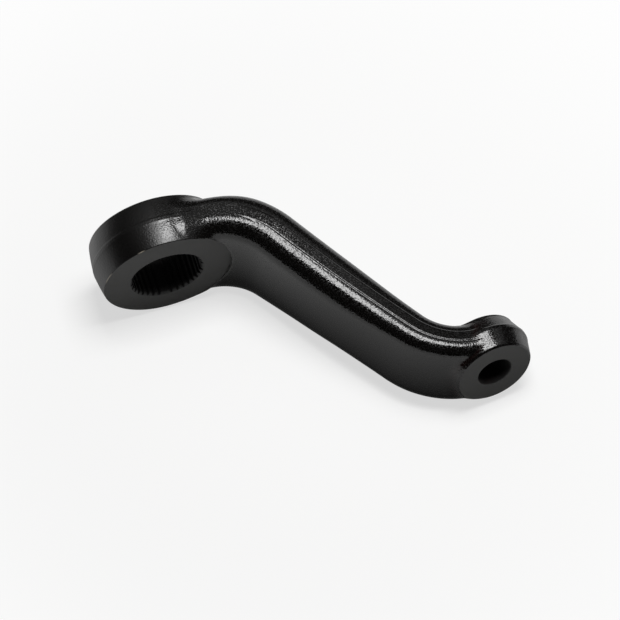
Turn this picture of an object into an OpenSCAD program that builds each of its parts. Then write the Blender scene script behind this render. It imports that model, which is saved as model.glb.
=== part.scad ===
// Drop pitman arm: one steel forging, lying on its flank as it rests on a bench.
// The sector shaft bore runs along Y with its nut face towards -Y. The origin is the middle of that eye.

/* [Sector shaft eye] */
// Diameter over the flash line of the large eye
sector_eye_d = 66.6; // [62:0.1:74]
// Thickness of the large eye from nut face to gearbox face
sector_eye_t = 25; // [22:0.5:32]
// Diameter of the machined nut face
nut_face_d = 62.6; // [54:0.1:64]
// Diameter of the gearbox face
gearbox_face_d = 63.6; // [54:0.1:64]
// Diameter at the roots of the serrations, at the nut face
serration_root_d = 36.4; // [32:0.1:40]
// Depth of a serration
serration_depth = 1.1; // [0.6:0.1:1.6]
// Places round the bore for a serration
serration_places = 36; // [24:4:48]
// Places left plain as master splines, evenly spaced
master_splines = 4; // [1, 2, 4]
// Growth of the bore diameter per millimetre towards the gearbox
sector_taper = 0.0625; // [0:0.005:0.1]

/* [Stud eye] */
// Diameter over the flash line of the small eye
stud_eye_d = 43.6; // [40:0.1:50]
// Thickness of the small eye
stud_eye_t = 19.6; // [17:0.2:26]
// Diameter of the machined face that the stud enters
stud_face_d = 36.9; // [30:0.1:39]
// Diameter of the face under the stud nut
stud_nut_face_d = 38.6; // [30:0.1:39]
// Length along the bore of the bevel at each face
stud_bevel = 1.6; // [0.6:0.1:4]
// Large end of the tapered stud hole
stud_hole_d = 17; // [12:0.1:20]
// Growth of the stud hole diameter per millimetre of length
stud_taper = 0.125; // [0:0.005:0.2]
// Turn of the small eye about the reach axis
stud_twist = 11.6; // [0:0.2:16]
// Swing of the small eye's bore in the plane of the bends
stud_swing = 4.2; // [0:0.2:10]

/* [Arm] */
// Reach from the sector bore to the stud hole
reach = 133.4; // [115:0.1:170]
// Drop from the large eye to the small eye
drop = 95; // [80:0.1:115]
// Straight length from the sector bore axis to the first bend
sector_lead = 21.9; // [15:0.1:30]
// Straight length from the second bend to the stud hole
stud_lead = 5.8; // [2:0.2:12]
// Centre line radius of the bend beside the large eye
sector_bend_r = 37.1; // [28:0.1:42]
// Centre line radius of the bend beside the small eye
stud_bend_r = 37.8; // [28:0.1:42]
// Width of the arm inside the large eye
arm_root_w = 64.1; // [56:0.1:65]
// Width of the arm beside the small eye
arm_tip_w = 40.8; // [34:0.2:41.2]
// Thickness of the arm inside the large eye
arm_root_t = 18; // [15:0.2:23]
// Thickness of the arm through the bends
arm_mid_t = 24.3; // [19:0.1:30]
// Thickness of the arm beside the small eye
arm_tip_t = 18.6; // [15:0.2:19]

/* [Forging] */
// Draft of the drawn walls of the small eye
draft = 10; // [3:0.5:11]
// Width of the trimmed flash land along the arm
arm_land_w = 6.3; // [4:0.1:9]
// Width of the trimmed flash land round each eye
eye_land_w = 1.6; // [0.8:0.1:3]
// Height of the flash land above the forged skin of the arm and the small eye
land_rise = 0.4; // [0.2:0.05:0.8]
// Height of the flash line above the forged skin of the large eye
sector_land_rise = 0.15; // [0.05:0.05:0.8]

/* [Machining] */
// Clearance of a spot-facing cutter round the face that it leaves
spot_clearance = 0.5; // [0.2:0.1:1.5]
// Depth of the lead-in chamfer at each end of the serrated bore
sector_lead_in = 1.4; // [0.4:0.1:2]
// Depth of the edge break at each end of the stud hole
stud_lead_in = 0.5; // [0.2:0.1:1.5]

/* [Hidden] */
steel_coat = "#1c1b1a";

// Smoothness of the round faces and of the swept arm
eye_segments = 96;
corner_steps = 8;
sweep_steps = 60;

// Clear length that a cutter runs past each face
overrun = 1;

// Shares of the arm's length over which its section changes
width_ends = 0.74;
swell = [0.12, 0.25];
thin_down = [0.5, 0.9];
twist_over = [0.25, 0.88];

// Half widths of a serration at its tip circle and at its root circle, as shares of the pitch
tooth_foot = 0.3;
tooth_root = 0.1;
tip_share = 1 - 2 * serration_depth / serration_root_d;

// Rotation that sets both eyes' flash lines on the bench
lie_angle = asin((sector_eye_d - stud_eye_d) / 2 / reach);

// The S bend: two arcs and the straight line that touches both
bend_dx = reach - sector_lead - stud_lead;
bend_dy = sector_bend_r + stud_bend_r - drop;
bend_span = norm([bend_dx, bend_dy]);
bend_slope = atan2(bend_dy, bend_dx);
bend_angle = asin((sector_bend_r + stud_bend_r) / bend_span) - bend_slope;
middle_l = bend_span * cos(bend_angle + bend_slope);
sector_arc_l = sector_bend_r * bend_angle * PI / 180;
stud_arc_l = stud_bend_r * bend_angle * PI / 180;
to_middle = sector_lead + sector_arc_l;
to_stud_arc = to_middle + middle_l;
to_stud_lead = to_stud_arc + stud_arc_l;
arm_l = to_stud_lead + stud_lead;

// Centre line at length l from the sector bore: x, y and heading below X
function arm_line(l) =
    l < sector_lead ? [l, 0, 0] :
    l < to_middle ? sector_arc((l - sector_lead) / sector_bend_r * 180 / PI) :
    l < to_stud_arc ? middle_line(l - to_middle) :
    l < to_stud_lead ? stud_arc((to_stud_lead - l) / stud_bend_r * 180 / PI) :
    [reach - (arm_l - l), -drop, 0];

function sector_arc(turn) = [
    sector_lead + sector_bend_r * sin(turn),
    -sector_bend_r * (1 - cos(turn)),
    turn
];

function middle_line(l) =
    let (start = sector_arc(bend_angle))
    [start.x + l * cos(bend_angle), start.y - l * sin(bend_angle), bend_angle];

function stud_arc(turn) = [
    reach - stud_lead - stud_bend_r * sin(turn),
    -drop + stud_bend_r * (1 - cos(turn)),
    turn
];

// Smooth step from 0 to 1 while s runs over a span
function ease(s, span) =
    let (u = min(1, max(0, (s - span[0]) / (span[1] - span[0]))))
    (1 - cos(180 * u)) / 2;

function arm_width(s) =
    arm_root_w + (arm_tip_w - arm_root_w) * ease(s, [0, width_ends]);

function arm_thickness(s) =
    arm_root_t
    + (arm_mid_t - arm_root_t) * ease(s, swell)
    + (arm_tip_t - arm_mid_t) * ease(s, thin_down);

// A quarter round of the section, counter-clockwise from angle a0
function quarter(cx, cy, r, a0) = [
    for (k = [0 : corner_steps])
        let (a = a0 + 90 * k / corner_steps)
        [cx + r * cos(a), cy + r * sin(a)]
];

// Section of the arm: flat faces, full corners and a raised flash land on each flank.
// The first coordinate runs through the thickness, the second across the width.
function arm_section(s) =
    let (
        land = arm_land_w / 2,
        skin = arm_width(s) / 2 - land_rise,
        r = arm_thickness(s) / 2 - land,
        c = skin - r
    )
    concat(
        quarter(land, c, r, 0),
        [[land, skin + land_rise], [-land, skin + land_rise]],
        quarter(-land, c, r, 90),
        quarter(-land, -c, r, 180),
        [[-land, -skin - land_rise], [land, -skin - land_rise]],
        quarter(land, -c, r, 270)
    );

// Section points at share s of the arm's length, twisted and set on the centre line
function arm_ring(s) =
    let (
        mid = arm_line(s * arm_l),
        twist = -stud_twist * ease(s, twist_over)
    )
    [
        for (p = arm_section(s))
            let (
                across = p[0] * cos(twist) - p[1] * sin(twist),
                up = p[0] * sin(twist) + p[1] * cos(twist)
            )
            [mid.x + across * sin(mid[2]), mid.y + across * cos(mid[2]), up]
    ];

module arm_sweep() {
    n = len(arm_section(0));
    points = [for (i = [0 : sweep_steps]) each arm_ring(i / sweep_steps)];
    walls = [
        for (i = [0 : sweep_steps - 1], j = [0 : n - 1])
            let (a = i * n + j, b = i * n + (j + 1) % n)
            each [[a, a + n, b + n], [a, b + n, b]]
    ];
    first_cap = [for (j = [0 : n - 1]) j];
    last_cap = [for (j = [n - 1 : -1 : 0]) sweep_steps * n + j];
    polyhedron(points, concat(walls, [first_cap, last_cap]), convexity = 6);
}

// Turns a solid drawn along Z so that its top faces the nut side
module along_bore() {
    rotate([90, 0, 0]) children();
}

// Sets a solid on the stud hole's place and axis
module at_stud() {
    translate([reach, -drop, 0])
        rotate([-stud_twist, 0, 0])
            rotate([0, 0, stud_swing])
                children();
}

module sector_eye() {
    half = sector_eye_t / 2;
    land = eye_land_w / 2;
    ridge = sector_eye_d / 2;
    skin = ridge - sector_land_rise;
    along_bore()
        rotate_extrude($fn = eye_segments)
            polygon([
                [0, -half],
                [gearbox_face_d / 2, -half],
                [skin, -land],
                [ridge, -land],
                [ridge, land],
                [skin, land],
                [nut_face_d / 2, half],
                [0, half]
            ]);
}

module stud_eye() {
    half = stud_eye_t / 2;
    land = eye_land_w / 2;
    ridge = stud_eye_d / 2;
    skin = ridge - land_rise;
    bevel_z = half - stud_bevel;
    bevel_r = skin - (bevel_z - land) * tan(draft);
    along_bore()
        rotate_extrude($fn = eye_segments)
            polygon([
                [0, -half],
                [stud_nut_face_d / 2, -half],
                [bevel_r, -bevel_z],
                [skin, -land],
                [ridge, -land],
                [ridge, land],
                [skin, land],
                [bevel_r, bevel_z],
                [stud_face_d / 2, half],
                [0, half]
            ]);
}

// Radius of the serration roots at height z along the bore
function sector_root_r(z) = (serration_root_d + sector_taper * (sector_eye_t / 2 - z)) / 2;

// Radius of the stud hole at height z along its bore
function stud_hole_r(z) = (stud_hole_d + stud_taper * (z - stud_eye_t / 2)) / 2;

// Outline of the serrated bore with its roots at radius root
function serration_outline(root) = [
    for (i = [0 : serration_places - 1])
        let (
            tip = root * tip_share,
            pitch = 360 / serration_places,
            plain = i % (serration_places / master_splines) == 0,
            corners = plain ? [[-tooth_foot, tip], [0, tip], [tooth_foot, tip]]
                : [[-tooth_foot, tip], [-tooth_root, root], [tooth_root, root], [tooth_foot, tip]]
        )
        for (c = corners)
            let (a = (i + c[0]) * pitch)
            [c[1] * cos(a), c[1] * sin(a)]
];

// Cutter for a chamfer at the top end, height z, of a bore of radius r
module lead_in(r, z, depth) {
    translate([0, 0, z - depth])
        cylinder(h = depth + overrun, r1 = r, r2 = r + depth + overrun, $fn = eye_segments);
}

// Cutter for the tapered serrated bore, with its small end at the nut face
module sector_bore() {
    half = sector_eye_t / 2;
    small_root = sector_root_r(half + overrun);
    large_root = sector_root_r(-half - overrun);
    along_bore() {
        translate([0, 0, half + overrun])
            rotate([180, 0, 0])
                linear_extrude(2 * (half + overrun), scale = large_root / small_root)
                    polygon(serration_outline(small_root));
        lead_in(sector_root_r(half) * tip_share, half, sector_lead_in);
        mirror([0, 0, 1])
            lead_in(sector_root_r(-half) * tip_share, half, sector_lead_in);
    }
}

// Cutter for the stud hole, with its large end at the face that the stud enters
module stud_hole() {
    half = stud_eye_t / 2;
    end = half + overrun;
    along_bore() {
        translate([0, 0, -end])
            cylinder(h = 2 * end, r1 = stud_hole_r(-end), r2 = stud_hole_r(end), $fn = eye_segments);
        lead_in(stud_hole_r(half), half, stud_lead_in);
        mirror([0, 0, 1])
            lead_in(stud_hole_r(-half), half, stud_lead_in);
    }
}

// Cutter that faces an eye flat at height z where the arm swells past it
module spot_face(face_d, z) {
    translate([0, 0, z])
        cylinder(h = arm_mid_t, d = face_d + 2 * spot_clearance, $fn = eye_segments);
}

module nut_spot_face() {
    along_bore()
        spot_face(nut_face_d, sector_eye_t / 2);
}

module stud_nut_spot_face() {
    along_bore()
        mirror([0, 0, 1])
            spot_face(stud_nut_face_d, stud_eye_t / 2);
}

module pitman_arm() {
    color(steel_coat)
        rotate([0, lie_angle, 0])
            difference() {
                union() {
                    sector_eye();
                    arm_sweep();
                    at_stud() stud_eye();
                }
                sector_bore();
                nut_spot_face();
                at_stud() {
                    stud_hole();
                    stud_nut_spot_face();
                }
            }
}

pitman_arm();
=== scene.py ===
"""Pitman arm: a drop forging under a gloss black coat, lying on a white table under one softbox."""

import math

import bpy
import numpy as np
from bpy.props import FloatProperty, FloatVectorProperty, IntProperty, PointerProperty
from mathutils import Matrix, Quaternion, Vector, noise


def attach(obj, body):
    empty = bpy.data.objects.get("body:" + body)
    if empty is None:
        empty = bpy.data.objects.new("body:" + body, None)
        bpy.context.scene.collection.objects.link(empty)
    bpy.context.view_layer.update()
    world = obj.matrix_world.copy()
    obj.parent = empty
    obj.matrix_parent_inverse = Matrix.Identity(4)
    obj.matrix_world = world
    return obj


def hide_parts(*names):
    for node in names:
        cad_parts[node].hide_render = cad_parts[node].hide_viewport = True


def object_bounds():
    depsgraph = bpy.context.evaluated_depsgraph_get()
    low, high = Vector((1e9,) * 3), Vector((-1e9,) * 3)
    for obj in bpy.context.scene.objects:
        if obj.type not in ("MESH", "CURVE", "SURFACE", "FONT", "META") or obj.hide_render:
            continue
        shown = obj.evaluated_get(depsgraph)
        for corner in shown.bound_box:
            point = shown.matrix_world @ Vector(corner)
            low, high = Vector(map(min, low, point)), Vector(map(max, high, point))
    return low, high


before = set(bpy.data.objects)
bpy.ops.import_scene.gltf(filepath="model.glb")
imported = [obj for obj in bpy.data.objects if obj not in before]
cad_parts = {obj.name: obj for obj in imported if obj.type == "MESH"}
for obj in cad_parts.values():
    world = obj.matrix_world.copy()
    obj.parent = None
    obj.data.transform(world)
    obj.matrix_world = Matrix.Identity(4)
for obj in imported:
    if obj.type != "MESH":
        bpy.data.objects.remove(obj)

bl_info = {
    "name": "Pitman Arm",
    "version": (1, 0, 0),
    "blender": (4, 5, 0),
    "location": "View3D > Sidebar > Pitman Arm",
    "description": "Builds a coated, drop-forged pitman arm and the table that it lies on",
    "category": "Object",
}

MM = 0.001
CAD_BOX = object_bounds()
CAD_NODE = "pitman_arm"


def linear(hex_colour):
    """Linear RGB of an sRGB hex colour."""
    channels = [int(hex_colour[i : i + 2], 16) / 255 for i in (1, 3, 5)]
    return tuple(c / 12.92 if c <= 0.04045 else ((c + 0.055) / 1.055) ** 2.4 for c in channels)


def length(label, note, millimetres):
    """A length in millimetres, kept in metres."""
    return FloatProperty(name=label, description=note, default=millimetres * MM, unit="LENGTH", precision=5)


def angle(label, note, degrees):
    """An angle in degrees, kept in radians."""
    return FloatProperty(name=label, description=note, default=math.radians(degrees), unit="ROTATION")


def share(label, note, value):
    """A number from 0 to 1."""
    return FloatProperty(name=label, description=note, default=value, min=0.0, max=1.0, subtype="FACTOR")


def colour(label, note, hex_colour):
    """A colour given as an sRGB hex value."""
    return FloatVectorProperty(
        name=label, description=note, default=linear(hex_colour), size=3, min=0.0, max=1.0, subtype="COLOR"
    )


class PitmanForging(bpy.types.PropertyGroup):
    """Sizes of the forging: the solid's, with the small eye's walls dressed a little further back."""

    sector_eye_d: length("Sector eye", "Diameter over the flash line of the large eye", 66.6)
    sector_eye_t: length("Sector eye thickness", "From nut face to gearbox face", 25)
    nut_face_d: length("Nut face", "Diameter of the machined nut face", 62.6)
    gearbox_face_d: length("Gearbox face", "Diameter of the face at the gearbox", 63.6)
    serration_root_d: length("Serration roots", "Diameter at the roots, at the nut face", 36.4)
    serration_depth: length("Serration depth", "Depth of a serration", 1.1)
    serration_places: IntProperty(name="Places", description="Places for a serration", default=36, min=8)
    master_splines: IntProperty(name="Master splines", description="Places left plain", default=4, min=1)
    sector_taper: share("Sector taper", "Growth of the bore per length towards the gearbox", 0.0625)

    stud_eye_d: length("Stud eye", "Diameter over the flash line of the small eye", 43.6)
    stud_eye_t: length("Stud eye thickness", "From stud face to nut face", 19.6)
    stud_face_d: length("Stud face", "Diameter of the face that the stud enters", 36.9)
    stud_nut_face_d: length("Stud nut face", "Diameter of the face under the stud nut", 38.6)
    stud_bevel: length("Stud bevel", "Length along the bore of the bevel at each face", 0.9)
    spot_clearance: length("Spot clearance", "Clearance of a spot-facing cutter round its face", 0.5)
    stud_hole_d: length("Stud hole", "Large end of the tapered hole", 17)
    stud_taper: share("Stud taper", "Growth of the stud hole per length", 0.125)
    stud_twist: angle("Stud twist", "Turn of the small eye about the reach axis", 11.6)
    stud_swing: angle("Stud swing", "Swing of its bore in the plane of the bends", 4.2)

    reach: length("Reach", "From the sector bore to the stud hole", 133.4)
    drop: length("Drop", "From the large eye to the small eye", 95)
    sector_lead: length("Sector lead", "Straight length before the first bend", 21.9)
    stud_lead: length("Stud lead", "Straight length after the second bend", 5.8)
    sector_bend_r: length("Sector bend", "Centre line radius of the first bend", 37.1)
    stud_bend_r: length("Stud bend", "Centre line radius of the second bend", 37.8)
    arm_root_w: length("Root width", "Width of the arm inside the large eye", 64.1)
    arm_tip_w: length("Tip width", "Width of the arm beside the small eye", 40.8)
    arm_root_t: length("Root thickness", "Thickness inside the large eye", 18)
    arm_mid_t: length("Middle thickness", "Thickness through the bends", 24.3)
    arm_tip_t: length("Tip thickness", "Thickness beside the small eye", 18.6)

    draft: angle("Draft", "Draft of the drawn walls of the small eye", 15)
    arm_land_w: length("Arm flash land", "Width of the trimmed flash along the arm", 6.3)
    eye_land_w: length("Eye flash land", "Width of the trimmed flash round each eye", 1.6)
    land_rise: length("Flash rise", "Height of the flash land on the arm and the small eye", 0.4)
    sector_land_rise: length("Sector flash rise", "Height of the flash line on the large eye", 0.15)
    sector_lead_in: length("Sector lead-in", "Chamfer at each end of the serrated bore", 1.4)
    stud_lead_in: length("Stud lead-in", "Edge break at each end of the stud hole", 0.5)
    sector_crown: length("Sector crown", "Bulge of the large eye's walls between flash line and face", 0.15)
    edge_break: length("Edge break", "Radius left on the edges of the machined faces", 0.6)
    bevel_round: length("Bevel round", "Radius of the forged edge round each bevel of the small eye", 0.8)
    face_fillet: length("Face fillet", "Width of the fillet between the arm and the large eye's front", 2.5)
    flank_fillet: length("Flank fillet", "Width of the fillet between the arm's flank and the large eye", 4)
    stud_fillet: length("Stud fillet", "Width of the fillet between the arm and the small eye's front", 4)
    stud_flank_fillet: length("Stud flank fillet", "Width of that fillet on the flanks", 1.2)
    skin_wave: length("Skin wave", "Height of the slow waves that die wear leaves on the skin", 0.04)


class PitmanFinish(bpy.types.PropertyGroup):
    """Colours and grain of the coat."""

    coat: colour("Coat", "Gloss black coat", "#070606")
    coat_thin: colour("Thin coat", "Coat where it lies thin over the scale", "#0c0b0a")
    # Painted sheen: this grey stands in for the pale table that the machined faces mirror
    face: colour("Machined face", "Satin coat on the faces that were machined flat", "#434342")
    # Painted glint: light grey on a few places of the nut face's edge, where the edge catches the light
    painted_glint: colour("Worn edge", "Bare grey where the coat is rubbed off an edge", "#8f887c")
    primer: colour("Primer", "Red-brown primer that shows in the hollows", "#1a0b0a")
    # Blasted grain is nearer 0.3 mm and is drawn coarser so that it shows at this size
    grain: length("Grain", "Size of the blasted grain under the coat", 0.8)
    speck: length("Speck", "Size of the dull specks in the coat", 0.7)
    grain_height: length("Grain height", "Height of that grain", 0.062)
    skin_roughness: share("Skin roughness", "Roughness of the coat on top of the grain", 0.06)
    pit_roughness: share("Pit roughness", "Roughness of the coat between the grain", 0.36)
    face_roughness: share("Face roughness", "Roughness of the coat over a machined face", 0.7)
    bore_roughness: share("Bore roughness", "Roughness of the thin coat in the bores", 0.9)
    wall_roughness: share("Wall roughness", "Roughness of the coat on the large eye's dressed wall", 0.35)


class PitmanStage(bpy.types.PropertyGroup):
    """Camera, table and light."""

    azimuth: angle("Azimuth", "Turn of the camera about the vertical", -19.69)
    elevation: angle("Elevation", "Height of the camera above the horizon", 62.68)
    roll: angle("Roll", "Turn of the camera about its own axis", 1.74)
    distance: length("Distance", "From the camera to the point that it looks at", 1200)
    lens: FloatProperty(
        name="Lens", description="Focal length in millimetres", default=145.2, unit="CAMERA"
    )
    look_x: length("Look at X", "Point in the middle of the picture", 61.1)
    look_y: length("Look at Y", "Point in the middle of the picture", -45.4)
    look_z: length("Look at Z", "Point in the middle of the picture", -11.5)
    table: colour("Table", "White paper on the table", "#eeeeed")
    table_r: length("Table radius", "Radius of the table", 6000)
    open_table: length("Open table", "Distance from the arm past which the table is plain white", 320)
    near_white: share("Near white", "Share of plain white in the paper beside the arm", 0.65)
    # Painted shade: within these reaches the coat's reflections of the paper show a fixed dark emission at
    # the contact shade's level instead of the lit paper
    shade_reach: length("Shade reach", "Distance within which the arm mirrors only the shade under it", 18)
    mirror_reach: length("Mirror reach", "Distance past which the arm mirrors the open paper", 75)
    contact_shade: share("Contact shade", "Light level of the paper right under the arm", 0.1)
    softbox_x: length("Softbox length", "Length of the softbox", 490)
    softbox_y: length("Softbox width", "Width of the softbox", 390)
    softbox_side: length("Softbox side", "How far it stands to the right of the arm", 145)
    softbox_back: length("Softbox back", "How far it stands behind the arm", 113)
    softbox_z: length("Softbox height", "Its height over the table", 1000)
    softbox_power: FloatProperty(
        name="Softbox power", description="Power in watts", default=10.0, unit="POWER"
    )


# Form of the forging

# Shares of the arm's length over which its section changes
WIDTH_ENDS = (0.0, 0.74)
SWELL = (0.12, 0.25)
THIN_DOWN = (0.5, 0.9)
TWIST_OVER = (0.25, 0.88)

# Shares of the arm's length over which its flash land rises out of the flank
LAND_FROM = (0.16, 0.36)
# Shares of an eye's radius over which its fillet changes to the flank's
FLANK_FROM = (0.5, 0.85)
# Shares of the sector lead over which that fillet starts
SECTOR_FILLET_FROM = (0.1, 0.45)

# Mesh spacing
STEP = 0.75 * MM
SECTOR_SEGMENTS = 256
STUD_SEGMENTS = 192
TABLE_SEGMENTS = 128
FLAT_STEPS = 22
CORNER_STEPS = 20
RAMP_STEPS = 6
LAND_STEPS = 4

# Run of the sheared step at each side of a flash land
LAND_RUN = 0.9 * MM
# Most of an edge that a rounded corner may take up
CORNER_ROOM = 0.45
# Half-angle past which a corner of an outline counts as straight
STRAIGHT = math.radians(89.5)
# Edges sharper than this are shaded as edges
SHARP_EDGE = math.radians(40)
# Length that a cutter runs past a face
OVERRUN = 1.0 * MM
# Inner radius of each eye's blank, in shares of its bore's diameter, which the bore then cuts away
SECTOR_CORE = 1 / 3
STUD_CORE = 1 / 4
# How near to a face a point counts as on it
SLACK = 0.05 * MM
# Places on the edge of the nut face that carry a painted glint, light grey where the edge catches light:
# middle and half-span of each in degrees round the bore
GLINTS = ((161, 9), (116.5, 3.5))
GLINT_WIDTH = 0.4 * MM
# Run over which the dressed wall of the large eye passes into the arm's skin
WALL_FADE = 4 * MM
# Length of the slow waves on the forged skin
WAVE_LENGTH = 14 * MM
# Search for the nearest place on the centre line: first guesses and rounds
RUN_GUESSES = 400
RUN_ROUNDS = 12
# Search for the fillet's skin: rounds, probe length and least slope squared
FILLET_ROUNDS = 5
PROBE = 0.02 * MM
LEAST_SLOPE = 0.25
# Corners of a serration, in shares of its pitch
TOOTH_FOOT = 0.3
TOOTH_ROOT = 0.1


def bulged(start, end, rise, steps=12):
    """Outline from start to end that bulges outwards by rise in the middle, as a flat parabola."""
    shares = [i / steps for i in range(steps + 1)]
    along = [(start[0] + (end[0] - start[0]) * u, start[1] + (end[1] - start[1]) * u) for u in shares]
    return [(r + 4 * rise * u * (1 - u), z) for (r, z), u in zip(along, shares)]


def rounded(points, radius, steps=5):
    """An outline with each inner corner turned into an arc."""
    out = [points[0]]
    for before, corner, after in zip(points, points[1:], points[2:]):
        p = Vector(corner)
        to_before = Vector(before) - p
        to_after = Vector(after) - p
        half = to_before.angle(to_after) / 2
        if half > STRAIGHT:
            out.append(corner)
            continue
        room = min(to_before.length, to_after.length) * CORNER_ROOM
        reach = min(radius / math.tan(half), room)
        inwards = (to_before.normalized() + to_after.normalized()).normalized()
        middle = p + inwards * (reach / math.cos(half))
        start = p + to_before.normalized() * reach - middle
        end = p + to_after.normalized() * reach - middle
        out += [tuple(middle + start.slerp(end, i / steps) * start.length) for i in range(steps + 1)]
    return out + [points[-1]]


def ease(s, span):
    """Smooth step from 0 to 1 while s runs over a span."""
    u = np.clip((np.asarray(s, float) - span[0]) / (span[1] - span[0]), 0, 1)
    return (1 - np.cos(np.pi * u)) / 2


def soft_min(a, b, k):
    """The smaller of two distances, rounded where they are within k of each other."""
    near = np.maximum(k - np.abs(a - b), 0) / np.maximum(k, MM * MM)
    return np.minimum(a, b) - near**2 * k / 4


class Eye:
    """A round eye: its place, its axes and the outline that is turned about its bore."""

    def __init__(self, place, turn, half, rim):
        self.place = np.array(place)
        self.turn = np.array(turn)
        self.half = half
        self.rim = rim

    def local(self, points):
        """Radius from the bore axis and height along it, towards the front face."""
        q = (points - self.place) @ self.turn
        return np.hypot(q[:, 0], q[:, 1]), q[:, 2]

    def gap(self, points):
        """Distance of points outside the eye, less than 0 inside it."""
        radius, height = self.local(points)
        rim_r = np.interp(height, [z for r, z in self.rim], [r for r, z in self.rim])
        return np.maximum(radius - rim_r, np.abs(height) - self.half)

    def world(self, ring):
        """Points of a ring about the bore axis, in the arm's frame."""
        return np.asarray(ring) @ self.turn.T + self.place


class Form:
    """The arm worked out from its sizes, in the frame in which both flanks are upright."""

    def __init__(self, k):
        self.k = k
        dx = k.reach - k.sector_lead - k.stud_lead
        dy = k.sector_bend_r + k.stud_bend_r - k.drop
        span = math.hypot(dx, dy)
        slope = math.atan2(dy, dx)
        self.bend = math.asin((k.sector_bend_r + k.stud_bend_r) / span) - slope
        middle = span * math.cos(self.bend + slope)
        bends = (k.sector_bend_r * self.bend, k.stud_bend_r * self.bend)
        self.ends = np.cumsum([k.sector_lead, bends[0], middle, bends[1], k.stud_lead])
        self.length = self.ends[-1]
        self.tip_share = 1 - 2 * k.serration_depth / k.serration_root_d
        self.lie = math.asin((k.sector_eye_d - k.stud_eye_d) / 2 / k.reach)
        upright = Matrix.Rotation(math.pi / 2, 3, "X")
        twisted = Matrix.Rotation(-k.stud_twist, 3, "X")
        stud_turn = twisted @ Matrix.Rotation(k.stud_swing, 3, "Z") @ upright
        self.sector = Eye((0, 0, 0), upright, k.sector_eye_t / 2, self.sector_rim())
        self.stud = Eye((k.reach, -k.drop, 0), stud_turn, k.stud_eye_t / 2, self.stud_rim())

    def sector_rim(self):
        """Radius and height of the large eye's wall, from the gearbox face to the nut face."""
        k = self.k
        half = k.sector_eye_t / 2
        land = k.eye_land_w / 2
        ridge = k.sector_eye_d / 2
        skin = ridge - k.sector_land_rise
        back = bulged((k.gearbox_face_d / 2, -half), (skin, -land - LAND_RUN), k.sector_crown)
        front = bulged((skin, land + LAND_RUN), (k.nut_face_d / 2, half), k.sector_crown)
        return back + [(ridge, -land), (ridge, land)] + front

    def stud_rim(self):
        """Radius and height of the small eye's wall, from the nut side to the stud side."""
        k = self.k
        half = k.stud_eye_t / 2
        land = k.eye_land_w / 2
        ridge = k.stud_eye_d / 2
        skin = ridge - k.land_rise
        bevel_z = half - k.stud_bevel
        bevel_r = skin - (bevel_z - land) * math.tan(k.draft)
        back = [(k.stud_nut_face_d / 2, -half), (bevel_r, -bevel_z), (skin, -land - LAND_RUN)]
        front = [(skin, land + LAND_RUN), (bevel_r, bevel_z), (k.stud_face_d / 2, half)]
        back = rounded(back, k.bevel_round)
        front = rounded(front, k.bevel_round)
        return back + [(ridge, -land), (ridge, land)] + front

    def sector_root_r(self, z):
        """Radius of the serration roots at height z along the bore."""
        return (self.k.serration_root_d + self.k.sector_taper * (self.sector.half - z)) / 2

    def stud_hole_r(self, z):
        """Radius of the stud hole at height z along it."""
        return (self.k.stud_hole_d + self.k.stud_taper * (z - self.stud.half)) / 2

    def line(self, run):
        """Centre line at a length from the sector bore: x, y and heading below X."""
        e = self.ends
        k = self.k
        into = self.bend * np.clip((run - e[0]) / (e[1] - e[0]), 0, 1)
        out = self.bend * (1 - np.clip((run - e[2]) / (e[3] - e[2]), 0, 1))
        straight = np.clip(run - e[1], 0, e[2] - e[1])
        x = np.minimum(run, e[0]) + k.sector_bend_r * np.sin(into) + straight * math.cos(self.bend)
        x = x + k.stud_bend_r * (math.sin(self.bend) - np.sin(out)) + np.maximum(run - e[3], 0)
        y = k.sector_bend_r * (1 - np.cos(into)) + straight * math.sin(self.bend)
        y = -y - k.stud_bend_r * (np.cos(out) - math.cos(self.bend))
        return x, y, into + out - self.bend

    def run(self, points):
        """Length along the centre line of the place nearest to each point."""
        runs = np.linspace(0, self.length, RUN_GUESSES)
        guess = np.interp(points[:, 0], self.line(runs)[0], runs)
        for _ in range(RUN_ROUNDS):
            x, y, heading = self.line(guess)
            ahead = (points[:, 0] - x) * np.cos(heading) - (points[:, 1] - y) * np.sin(heading)
            guess = np.clip(guess + ahead, 0, self.length)
        return guess

    def half_width(self, s):
        """Half the width over the flash land."""
        k = self.k
        return (k.arm_root_w + (k.arm_tip_w - k.arm_root_w) * ease(s, WIDTH_ENDS)) / 2

    def half_thickness(self, s, side):
        """Half the thickness on one side, -1 for the front, where the neck is full, and 1 for the back."""
        k = self.k
        root_t = np.where(np.asarray(side) < 0, k.arm_mid_t, k.arm_root_t)
        swollen = root_t + (k.arm_mid_t - root_t) * ease(s, SWELL)
        return (swollen + (k.arm_tip_t - k.arm_mid_t) * ease(s, THIN_DOWN)) / 2

    def twist(self, s):
        """Turn of the section about the centre line."""
        return -self.k.stud_twist * ease(s, TWIST_OVER)

    def rise(self, s):
        """Height of the flash land."""
        return self.k.land_rise * ease(s, LAND_FROM)

    def section_quarter(self, s, side):
        """A quarter of the section, from the middle of a face to the middle of a flank."""
        land = self.k.arm_land_w / 2
        rise = self.rise(s)
        skin = self.half_width(s) - self.k.land_rise
        r = float(self.half_thickness(s, side)) - land
        c = skin - r
        flat = [(land + r, c * i / FLAT_STEPS) for i in range(FLAT_STEPS)]
        turns = [math.pi / 2 * i / CORNER_STEPS for i in range(CORNER_STEPS + 1)]
        corner = [(land + r * math.cos(t), c + r * math.sin(t)) for t in turns]
        steps = [(i + 1) / RAMP_STEPS for i in range(RAMP_STEPS)]
        ramp = [(land - LAND_RUN * t, skin + rise * ease(t, (0, 1))) for t in steps]
        top = [(land - LAND_RUN) * (1 - (i + 1) / LAND_STEPS) for i in range(LAND_STEPS)]
        return np.array(flat + corner + ramp + [(a, skin + rise) for a in top])

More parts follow.
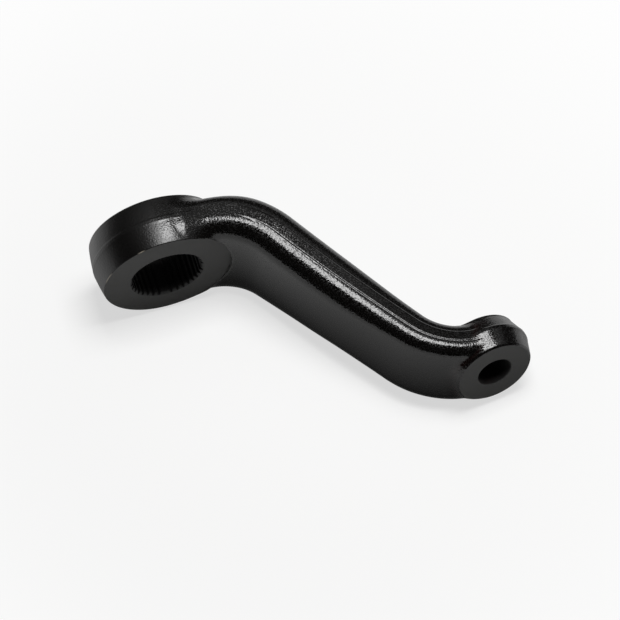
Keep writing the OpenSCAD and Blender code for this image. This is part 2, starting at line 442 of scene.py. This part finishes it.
    def ring(self, s):
        """Points round the arm's section at share s of its length."""
        back = self.section_quarter(s, 1)
        front = self.section_quarter(s, -1) * (-1, 1)
        around = [back[:-1], front[:0:-1], (front * (1, -1))[:-1], (back * (1, -1))[:0:-1]]
        a, b = np.concatenate(around).T
        x, y, heading = self.line(s * self.length)
        t = self.twist(s)
        across = a * np.cos(t) - b * np.sin(t)
        up = a * np.sin(t) + b * np.cos(t)
        return np.column_stack((x + across * np.sin(heading), y + across * np.cos(heading), up))

    def arm_gap(self, points):
        """Distance of points outside the arm's skin, less than 0 inside it."""
        run = self.run(points)
        x, y, heading = self.line(run)
        px = points[:, 0] - x
        py = points[:, 1] - y
        across = px * np.sin(heading) + py * np.cos(heading)
        beyond = px * np.cos(heading) - py * np.sin(heading)
        s = run / self.length
        t = self.twist(s)
        a = across * np.cos(t) + points[:, 2] * np.sin(t)
        b = np.abs(points[:, 2] * np.cos(t) - across * np.sin(t))
        land = self.k.arm_land_w / 2
        r = self.half_thickness(s, a) - land
        side_a = np.abs(a) - land
        side_b = b - (self.half_width(s) - self.k.land_rise - r)
        gap = np.hypot(np.maximum(side_a, 0), np.maximum(side_b, 0)) - r
        gap = gap + np.minimum(np.maximum(side_a, side_b), 0)
        raised = self.rise(s) * (1 - ease(side_a / LAND_RUN, (-1, 0))) * (side_b > 0)
        return np.maximum(gap - raised, np.abs(beyond))

    def gaps(self, points):
        """Distances from the arm and both eyes, and the fillet widths that apply there."""
        k = self.k
        up = np.abs(points[:, 2]) / (k.sector_eye_d / 2)
        sector_k = k.face_fillet + (k.flank_fillet - k.face_fillet) * ease(up, FLANK_FROM)
        sector_k = sector_k * ease(points[:, 0] / k.sector_lead, SECTOR_FILLET_FROM)
        up = np.abs(points[:, 2]) / (k.stud_eye_d / 2)
        stud_k = k.stud_fillet + (k.stud_flank_fillet - k.stud_fillet) * ease(up, FLANK_FROM)
        return self.arm_gap(points), self.sector.gap(points), self.stud.gap(points), sector_k, stud_k

    def hard(self, points):
        """Distance from the nearest of arm and eyes, with sharp corners between them."""
        arm, sector, stud, _, _ = self.gaps(points)
        return np.minimum(arm, np.minimum(sector, stud))

    def soft(self, points):
        """The same distance with fillets in the corners."""
        arm, sector, stud, sector_k, stud_k = self.gaps(points)
        return soft_min(soft_min(arm, sector, sector_k), stud, stud_k)

    def on_machined(self, points):
        """1 on a machined face, 0 elsewhere."""
        k = self.k
        on_face = np.zeros(len(points), bool)
        for eye, face_d in ((self.sector, k.gearbox_face_d), (self.stud, k.stud_nut_face_d)):
            radius, height = eye.local(points)
            inside = radius < face_d / 2 + k.spot_clearance + SLACK
            on_face |= (np.abs(height) > eye.half - SLACK) & inside
        return on_face.astype(float)

    def in_bore(self, points):
        """1 in a bore, 0 elsewhere."""
        k = self.k
        inside = np.zeros(len(points), bool)
        sector_d = k.serration_root_d + 2 * k.serration_depth
        for eye, bore_d in ((self.sector, sector_d), (self.stud, k.stud_hole_d)):
            radius, height = eye.local(points)
            inside |= (radius < bore_d / 2 + SLACK) & (np.abs(height) < eye.half - SLACK)
        return inside.astype(float)

    def on_glint(self, points):
        """1 in the middle of each painted glint on the edge of the nut face, 0 away from them."""
        edge = self.k.nut_face_d / 2 - GLINT_WIDTH
        radius, height = self.sector.local(points)
        x, y, _ = ((points - self.sector.place) @ self.sector.turn).T
        turn = np.degrees(np.arctan2(y, x))
        painted_glint = np.zeros(len(points))
        for middle, span in GLINTS:
            painted_glint = np.maximum(painted_glint, 1 - ((turn - middle) / span) ** 2)
        return painted_glint * ((radius > edge) & (height > self.sector.half - GLINT_WIDTH))

    def on_wall(self, points):
        """1 on the large eye's wall, falling to 0 at the arm and elsewhere."""
        radius, height = self.sector.local(points)
        wall = (radius > self.k.nut_face_d / 2 - SLACK) & (radius < self.k.sector_eye_d / 2 + SLACK)
        wall &= np.abs(height) < self.sector.half
        return wall * np.clip(self.arm_gap(points) / WALL_FADE, 0, 1)

    def fillet(self, points):
        """1 at the bottom of the hollow beside the small eye, 0 away from it."""
        arm, _, stud, _, stud_k = self.gaps(points)
        return (np.maximum(stud_k - np.abs(arm - stud), 0) / stud_k) ** 2

    def fill_fillets(self, points):
        """Moves points near the eyes out onto the fillets that the dies leave there."""
        target = self.hard(points)
        moved = points.copy()
        for _ in range(FILLET_ROUNDS):
            probes = PROBE * np.eye(3)
            rises = [self.soft(moved + probe) - self.soft(moved - probe) for probe in probes]
            slope = np.column_stack(rises) / (2 * PROBE)
            off = self.soft(moved) - target
            moved -= slope * (off / np.maximum((slope**2).sum(1), LEAST_SLOPE))[:, None]
        return moved


def spaced(points):
    """The points of an outline with more between them, no further apart than the mesh spacing."""
    out = [points[0]]
    for a, b in zip(points, points[1:]):
        n = max(1, math.ceil(math.dist(a, b) / STEP))
        out += [(a[0] + (b[0] - a[0]) * i / n, a[1] + (b[1] - a[1]) * i / n) for i in range(1, n + 1)]
    return out


def circles(outline, segments):
    """One ring of points for each radius and height of an outline turned about Z."""
    turns = np.arange(segments) * 2 * math.pi / segments
    circle = np.column_stack((np.cos(turns), np.sin(turns), np.zeros(segments)))
    return [circle * r + (0, 0, z) for r, z in outline]


def loft(name, rings):
    """A closed object through rings of points, with a flat end at each side."""
    count = len(rings[0])
    total = len(rings) * count
    faces = [tuple(range(count)), tuple(range(total - 1, total - count - 1, -1))]
    for i in range(len(rings) - 1):
        for j in range(count):
            a = i * count + j
            b = i * count + (j + 1) % count
            faces.append((b, a, a + count, b + count))
    mesh = bpy.data.meshes.new(name)
    mesh.from_pydata(np.concatenate(rings).tolist(), [], faces)
    obj = bpy.data.objects.new(name, mesh)
    bpy.context.scene.collection.objects.link(obj)
    if signed_volume(mesh) < 0:
        mesh.flip_normals()
    return obj


def signed_volume(mesh):
    """Six times the volume of a closed mesh, less than 0 where its faces look inwards."""
    mesh.calc_loop_triangles()
    co = vertex_array(mesh)
    tri = np.array([t.vertices[:] for t in mesh.loop_triangles])
    return np.einsum("ij,ij->i", co[tri[:, 0]], np.cross(co[tri[:, 1]], co[tri[:, 2]])).sum()


def vertex_array(mesh):
    """Places of a mesh's vertices, one row each."""
    co = np.zeros(len(mesh.vertices) * 3)
    mesh.vertices.foreach_get("co", co)
    return co.reshape(-1, 3)


def combine(obj, tool, operation):
    """Joins or cuts obj with a tool, which is then thrown away."""
    step = obj.modifiers.new(operation.title(), "BOOLEAN")
    step.operation = operation
    step.solver = "MANIFOLD"
    step.object = tool
    graph = bpy.context.evaluated_depsgraph_get()
    made = bpy.data.meshes.new_from_object(obj.evaluated_get(graph))
    obj.modifiers.remove(step)
    old = obj.data
    obj.data = made
    bpy.data.meshes.remove(old)
    bpy.data.objects.remove(tool)
    if not obj.data.polygons:
        raise RuntimeError(f"{operation} left nothing of {obj.name}")


def turned(eye, name, outline, segments):
    """A closed object made by turning an outline about an eye's bore."""
    return loft(name, [eye.world(ring) for ring in circles(outline, segments)])


def eye_blank(form, eye, name, segments, inner_r):
    """An eye before its bore is cut."""
    outline = [(inner_r, -eye.half)] + eye.rim + [(inner_r, eye.half)]
    return turned(eye, name, spaced(rounded(outline, form.k.edge_break)), segments)


def serrated_cutter(form):
    """Cutter for the tapered serrated bore, small at the nut face."""
    k = form.k
    end = form.sector.half + OVERRUN
    every = k.serration_places // k.master_splines
    rings = []
    for z in (-end, end):
        root = form.sector_root_r(z)
        tip = root * form.tip_share
        ring = []
        for i in range(k.serration_places):
            tooth = root if i % every else tip
            before = [(-TOOTH_FOOT, tip), (-TOOTH_ROOT, tooth)]
            after = [(TOOTH_ROOT, tooth), (TOOTH_FOOT, tip)]
            for offset, r in before + after:
                turn = (i + offset) * 2 * math.pi / k.serration_places
                ring.append((r * math.cos(turn), r * math.sin(turn), z))
        rings.append(form.sector.world(ring))
    return loft("serrated_cutter", rings)


def lead_in(eye, bore_r, depth, side):
    """Outline of a chamfer at one end of a bore: side 1 is the front, -1 the back."""
    z = side * eye.half
    return [(bore_r, z - side * depth), (bore_r + depth + OVERRUN, z + side * OVERRUN)]


def spot_face(eye, face_d, clearance, depth, side):
    """Outline of a cut that faces an eye flat where the arm swells past it."""
    r = face_d / 2 + clearance
    return [(r, side * eye.half), (r, side * (eye.half + depth))]


def forge(form):
    """The forging as one mesh object, with its bores and faces cut."""
    k = form.k
    count = math.ceil(form.length / STEP)
    arm = loft(CAD_NODE + "_forging", [form.ring(i / count) for i in range(count + 1)])
    blanks = (
        (form.sector, "sector_blank", SECTOR_SEGMENTS, k.serration_root_d * SECTOR_CORE),
        (form.stud, "stud_blank", STUD_SEGMENTS, k.stud_hole_d * STUD_CORE),
    )
    for eye, name, segments, inner_r in blanks:
        combine(arm, eye_blank(form, eye, name, segments, inner_r), "UNION")

    points = vertex_array(arm.data)
    skin = form.on_machined(points) + form.in_bore(points) < 0.5
    points[skin] = form.fill_fillets(points[skin])
    arm.data.vertices.foreach_set("co", points.ravel())
    arm.data.update()
    normals = np.array([v.normal for v in arm.data.vertices])
    wave = np.array([skin_wave(p) for p in points])
    points[skin] += (normals * (wave * k.skin_wave)[:, None])[skin]
    arm.data.vertices.foreach_set("co", points.ravel())
    arm.data.update()

    machine(form, arm)
    return arm


def machine(form, arm):
    """Cuts the spot faces, the serrated bore, the stud hole and their chamfers."""
    k = form.k
    sector = form.sector
    stud = form.stud
    combine(arm, serrated_cutter(form), "DIFFERENCE")
    ends = (-stud.half - OVERRUN, stud.half + OVERRUN)
    cuts = [
        (sector, SECTOR_SEGMENTS, spot_face(sector, k.nut_face_d, k.spot_clearance, k.arm_mid_t, 1)),
        (stud, STUD_SEGMENTS, spot_face(stud, k.stud_nut_face_d, k.spot_clearance, k.arm_mid_t, -1)),
        (stud, STUD_SEGMENTS, [(form.stud_hole_r(z), z) for z in ends]),
    ]
    for side in (-1, 1):
        tip = form.sector_root_r(side * sector.half) * form.tip_share
        cuts.append((sector, SECTOR_SEGMENTS, lead_in(sector, tip, k.sector_lead_in, side)))
        hole = form.stud_hole_r(side * stud.half)
        cuts.append((stud, STUD_SEGMENTS, lead_in(stud, hole, k.stud_lead_in, side)))
    for eye, segments, outline in cuts:
        combine(arm, turned(eye, "cutter", outline, segments), "DIFFERENCE")


def skin_wave(p):
    """Slow waves on a forged skin, about -1 to 1."""
    return noise.noise(Vector(p) / WAVE_LENGTH)


# Finish


def add_node(tree, kind, settings=None, links=None):
    """Adds a node, sets its options and sockets, and links other nodes' outputs into it."""
    node = tree.nodes.new(kind)
    for key, value in (settings or {}).items():
        if isinstance(key, int) or key in node.inputs:
            node.inputs[key].default_value = value
        else:
            setattr(node, key, value)
    for key, source in (links or {}).items():
        tree.links.new(source, node.inputs[key])
    return node


def new_tree(owner):
    """The empty node tree of a material or a world."""
    owner.use_nodes = True
    owner.node_tree.nodes.clear()
    return owner.node_tree


# Sockets of a Mix node that mixes colours: share, first colour, second colour and the result
MIX_SHARE = 0
MIX_FROM = 6
MIX_TO = 7
MIX_OUT = 2
# Size of the patches in which the coat lies thin, and of those in which primer shows in a hollow
THIN_PATCH = 9 * MM
PRIMER_PATCH = 3 * MM
# Levels of the speck noise between which the coat turns from dull to glossy
SPECK_EDGE = (0.42, 0.5)
# Share of the grain that is left on machined faces and in bores
WORKED_GRAIN = 0.1
# Refractive index of the dip coat, a little under that of a baked enamel
COAT_IOR = 1.44


def gloss_black_coat(finish):
    """Gloss black dip coat over blasted steel: near-black, with a sharp highlight that grain and specks
    break into sparks on the forged skin. The dressed wall of the large eye is duller, the machined faces
    are satin with a painted sheen, a grey in their colour standing in for the table they mirror, a few
    places on the nut face's edge carry a painted glint in light grey, and the bores are dull."""
    material = bpy.data.materials.new("gloss_black_coat_on_forged_steel")
    tree = new_tree(material)
    where = add_node(tree, "ShaderNodeTexCoord").outputs["Object"]
    machined, bored, hollow, glinting, walled = (
        add_node(tree, "ShaderNodeAttribute", {"attribute_name": zone}).outputs["Fac"]
        for zone in ("machined", "bored", "hollow", "glinting", "walled")
    )
    # Size of each pattern, and the number of finer ones that it carries
    noises = {
        "thin": (THIN_PATCH, 3.0),
        "primer": (PRIMER_PATCH, 2.0),
        "grain": (finish.grain, 0.0),
        "speck": (finish.speck, 1.0),
    }
    level = {}
    for name, (size, detail) in noises.items():
        settings = {"Scale": 1 / size, "Detail": detail}
        level[name] = add_node(tree, "ShaderNodeTexNoise", settings, {"Vector": where}).outputs["Fac"]

    primed = add_node(
        tree,
        "ShaderNodeMath",
        {"operation": "MULTIPLY"},
        {0: hollow, 1: level["primer"]},
    )
    surface = add_node(
        tree,
        "ShaderNodeMix",
        {"data_type": "RGBA", MIX_FROM: (*finish.coat, 1), MIX_TO: (*finish.coat_thin, 1)},
        {MIX_SHARE: level["thin"]},
    )
    # Primer in the hollows, then a painted sheen of grey on the machined faces and a painted glint on the
    # nut face's edge
    tones = ((primed.outputs[0], finish.primer), (machined, finish.face), (glinting, finish.painted_glint))
    for zone, tone in tones:
        surface = add_node(
            tree,
            "ShaderNodeMix",
            {"data_type": "RGBA", MIX_TO: (*tone, 1)},
            {MIX_SHARE: zone, MIX_FROM: surface.outputs[MIX_OUT]},
        )

    roughness = add_node(
        tree,
        "ShaderNodeMapRange",
        {
            "interpolation_type": "SMOOTHSTEP",
            "From Min": SPECK_EDGE[0],
            "From Max": SPECK_EDGE[1],
            "To Min": finish.pit_roughness,
            "To Max": finish.skin_roughness,
        },
        {"Value": level["speck"]},
    )
    dulled = (
        (walled, finish.wall_roughness),
        (machined, finish.face_roughness),
        (bored, finish.bore_roughness),
    )
    for zone, dull in dulled:
        roughness = add_node(
            tree,
            "ShaderNodeMapRange",
            {"To Max": dull},
            {"Value": zone, "To Min": roughness.outputs[0]},
        )

    worked = add_node(tree, "ShaderNodeMath", {"operation": "MAXIMUM"}, {0: machined, 1: bored})
    grain_share = add_node(
        tree,
        "ShaderNodeMapRange",
        {"To Min": 1.0, "To Max": WORKED_GRAIN},
        {"Value": worked.outputs[0]},
    )
    bump = add_node(
        tree,
        "ShaderNodeBump",
        {"Distance": finish.grain_height},
        {"Height": level["grain"], "Strength": grain_share.outputs[0]},
    )
    shader = add_node(
        tree,
        "ShaderNodeBsdfPrincipled",
        {"IOR": COAT_IOR},
        {
            "Base Color": surface.outputs[MIX_OUT],
            "Roughness": roughness.outputs[0],
            "Normal": bump.outputs["Normal"],
        },
    )
    add_node(tree, "ShaderNodeOutputMaterial", links={"Surface": shader.outputs["BSDF"]})
    return material


# Share of the open table's distance up to which the paper keeps most of the shadow
SHADOW_SHARE = 0.3


def white_table(stage):
    """Matte white paper: it keeps the arm's shadow near the arm and is plain white further out. Where the
    coat mirrors the paper right beside it, the paper shows a painted shade: a fixed dark emission that
    stands in for the shade under the arm."""
    material = bpy.data.materials.new("matte_white_paper")
    tree = new_tree(material)
    where = add_node(tree, "ShaderNodeTexCoord").outputs["Object"]
    far = add_node(tree, "ShaderNodeVectorMath", {"operation": "LENGTH"}, {0: where})
    open_share = add_node(
        tree,
        "ShaderNodeMapRange",
        {
            "interpolation_type": "SMOOTHSTEP",
            "From Min": SHADOW_SHARE * stage.open_table,
            "From Max": stage.open_table,
            "To Min": stage.near_white,
        },
        {"Value": far.outputs["Value"]},
    )
    path = add_node(tree, "ShaderNodeLightPath")
    seen = path.outputs["Is Camera Ray"]
    for ray in ("Is Glossy Ray", "Is Transmission Ray"):
        either = {0: seen, 1: path.outputs[ray]}
        seen = add_node(tree, "ShaderNodeMath", {"operation": "MAXIMUM"}, either).outputs[0]
    plain = add_node(
        tree,
        "ShaderNodeMath",
        {"operation": "MULTIPLY"},
        {0: seen, 1: open_share.outputs[0]},
    )
    paper = add_node(tree, "ShaderNodeBsdfDiffuse", {"Color": (*stage.table, 1)})
    white = add_node(tree, "ShaderNodeEmission", {"Color": (1, 1, 1, 1), "Strength": 1.0})
    mixed = add_node(
        tree,
        "ShaderNodeMixShader",
        links={0: plain.outputs[0], 1: paper.outputs["BSDF"], 2: white.outputs["Emission"]},
    )
    # Painted shade: glossy rays that end on the paper within mirror reach see a fixed dark emission instead
    # of the paper
    close = add_node(
        tree,
        "ShaderNodeMapRange",
        {"From Min": stage.shade_reach, "From Max": stage.mirror_reach, "To Min": 1.0, "To Max": 0.0},
        {"Value": path.outputs["Ray Length"]},
    )
    shaded = add_node(
        tree,
        "ShaderNodeMath",
        {"operation": "MULTIPLY"},
        {0: close.outputs[0], 1: path.outputs["Is Glossy Ray"]},
    )
    shade = add_node(tree, "ShaderNodeEmission", {"Strength": stage.contact_shade})
    mirrored = add_node(
        tree,
        "ShaderNodeMixShader",
        links={0: shaded.outputs[0], 1: mixed.outputs["Shader"], 2: shade.outputs["Emission"]},
    )
    add_node(tree, "ShaderNodeOutputMaterial", links={"Surface": mirrored.outputs["Shader"]})
    return material


# Stage

# Light of the room by the sine of the elevation: faint at the foot, a pale cove high up, dark overhead
ROOM = ((0.0, 0.1), (0.13, 0.1), (0.2, 0.03), (0.55, 0.03), (0.68, 0.32), (0.82, 0.42), (0.88, 0.05))

# Direction to the lit side of the room, and the span of its dot product over which the light comes up
LIT_SIDE = (0.55, 0.83, 0.0)
LIT_SPAN = (-0.1, 0.25)

# How far the camera sees, in metres
FAR_SIGHT = 100


def light_room(scene):
    """A dark studio with a pale cove on one side."""
    world = bpy.data.worlds.new("studio_room")
    scene.world = world
    tree = new_tree(world)
    where = add_node(tree, "ShaderNodeTexCoord").outputs["Generated"]
    up = add_node(tree, "ShaderNodeSeparateXYZ", links={"Vector": where}).outputs["Z"]
    ramp = add_node(tree, "ShaderNodeValToRGB", links={"Fac": up})
    stops = ramp.color_ramp.elements
    while len(stops) < len(ROOM):
        stops.new(1.0)
    for stop, (place, level) in zip(stops, ROOM):
        stop.position = place
        stop.color = (level, level, level, 1)
    side = add_node(tree, "ShaderNodeVectorMath", {"operation": "DOT_PRODUCT", 1: LIT_SIDE}, {0: where})
    lit = add_node(
        tree,
        "ShaderNodeMapRange",
        {"From Min": LIT_SPAN[0], "From Max": LIT_SPAN[1]},
        {"Value": side.outputs["Value"]},
    )
    background = add_node(
        tree,
        "ShaderNodeBackground",
        links={"Color": ramp.outputs["Color"], "Strength": lit.outputs[0]},
    )
    add_node(tree, "ShaderNodeOutputWorld", links={"Surface": background.outputs["Background"]})


def lay_table(scene, stage):
    """A round table under the arm. Gives back its middle."""
    floor_z = CAD_BOX[0].z
    turns = np.arange(TABLE_SEGMENTS) * 2 * math.pi / TABLE_SEGMENTS
    rim = [(stage.table_r * math.cos(t), stage.table_r * math.sin(t), 0) for t in turns]
    mesh = bpy.data.meshes.new("table")
    mesh.from_pydata(rim, [], [tuple(range(len(rim)))])
    mesh.materials.append(white_table(stage))
    table = bpy.data.objects.new("table", mesh)
    middle = (CAD_BOX[0] + CAD_BOX[1]) / 2
    table.location = (middle.x, middle.y, floor_z)
    scene.collection.objects.link(table)
    return table.location.copy()


def hang_softbox(scene, stage, middle):
    """One softbox over the table."""
    light = bpy.data.lights.new("softbox", "AREA")
    light.shape = "RECTANGLE"
    light.size = stage.softbox_x
    light.size_y = stage.softbox_y
    light.energy = stage.softbox_power
    lamp = bpy.data.objects.new("softbox", light)
    lamp.location = middle + Vector((stage.softbox_side, stage.softbox_back, stage.softbox_z))
    lamp.rotation_euler = (-math.atan2(stage.softbox_back, stage.softbox_z), 0, 0)
    scene.collection.objects.link(lamp)


def place_camera(scene, stage):
    """A camera that looks down on the arm from the front."""
    camera = bpy.data.cameras.new("camera")
    camera.lens = stage.lens
    camera.clip_end = FAR_SIGHT
    view = bpy.data.objects.new("camera", camera)
    flat = math.cos(stage.elevation)
    aside = Vector((math.sin(stage.azimuth), -math.cos(stage.azimuth), 0))
    back = aside * flat + Vector((0, 0, math.sin(stage.elevation)))
    turn = back.to_track_quat("Z", "Y") @ Quaternion((0, 0, 1), stage.roll)
    look = Vector((stage.look_x, stage.look_y, stage.look_z))
    view.matrix_world = Matrix.LocRotScale(look + back * stage.distance, turn, None)
    scene.collection.objects.link(view)
    scene.camera = view


class PITMAN_OT_forge_arm(bpy.types.Operator):
    """Forge the arm, cut its bores and coat it"""

    bl_idname = "pitman.forge_arm"
    bl_label = "Forge Arm"

    def execute(self, context):
        form = Form(context.scene.pitman_forging)
        arm = forge(form)
        mesh = arm.data
        points = vertex_array(mesh)
        zones = {
            "machined": form.on_machined,
            "bored": form.in_bore,
            "hollow": form.fillet,
            "glinting": form.on_glint,
            "walled": form.on_wall,
        }
        for name, zone in zones.items():
            mesh.attributes.new(name, "FLOAT", "POINT").data.foreach_set("value", zone(points))
        mesh.transform(Matrix.Rotation(form.lie, 4, "Y"))
        mesh.shade_smooth()
        mesh.set_sharp_from_angle(angle=SHARP_EDGE)
        mesh.materials.clear()
        mesh.materials.append(gloss_black_coat(context.scene.pitman_finish))
        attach(arm, "root")
        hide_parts(CAD_NODE)
        return {"FINISHED"}


class PITMAN_OT_set_stage(bpy.types.Operator):
    """Lay the table, light it and place the camera"""

    bl_idname = "pitman.set_stage"
    bl_label = "Set Stage"

    def execute(self, context):
        scene = context.scene
        stage = scene.pitman_stage
        scene.view_settings.view_transform = "Standard"
        light_room(scene)
        middle = lay_table(scene, stage)
        hang_softbox(scene, stage, middle)
        place_camera(scene, stage)
        return {"FINISHED"}


class PITMAN_PT_panel(bpy.types.Panel):
    """Lists the sizes, the finish and the stage"""

    bl_idname = "PITMAN_PT_panel"
    bl_label = "Pitman Arm"
    bl_space_type = "VIEW_3D"
    bl_region_type = "UI"
    bl_category = "Pitman Arm"

    def draw(self, context):
        scene = context.scene
        groups = (
            (PITMAN_OT_forge_arm, (scene.pitman_forging, scene.pitman_finish)),
            (PITMAN_OT_set_stage, (scene.pitman_stage,)),
        )
        for operator, settings in groups:
            self.layout.operator(operator.bl_idname)
            for group in settings:
                for name in group.bl_rna.properties.keys():
                    if name not in ("rna_type", "name"):
                        self.layout.prop(group, name)


CLASSES = (
    PitmanForging,
    PitmanFinish,
    PitmanStage,
    PITMAN_OT_forge_arm,
    PITMAN_OT_set_stage,
    PITMAN_PT_panel,
)


def register():
    """Registers the classes and hangs their settings on the scene."""
    for item in CLASSES:
        bpy.utils.register_class(item)
    bpy.types.Scene.pitman_forging = PointerProperty(type=PitmanForging)
    bpy.types.Scene.pitman_finish = PointerProperty(type=PitmanFinish)
    bpy.types.Scene.pitman_stage = PointerProperty(type=PitmanStage)


def unregister():
    """Takes the settings and the classes away again."""
    del bpy.types.Scene.pitman_stage
    del bpy.types.Scene.pitman_finish
    del bpy.types.Scene.pitman_forging
    for item in reversed(CLASSES):
        bpy.utils.unregister_class(item)


def main():
    """Builds the arm and its stage."""
    register()
    bpy.ops.pitman.forge_arm()
    bpy.ops.pitman.set_stage()


if __name__ == "__main__":
    main()
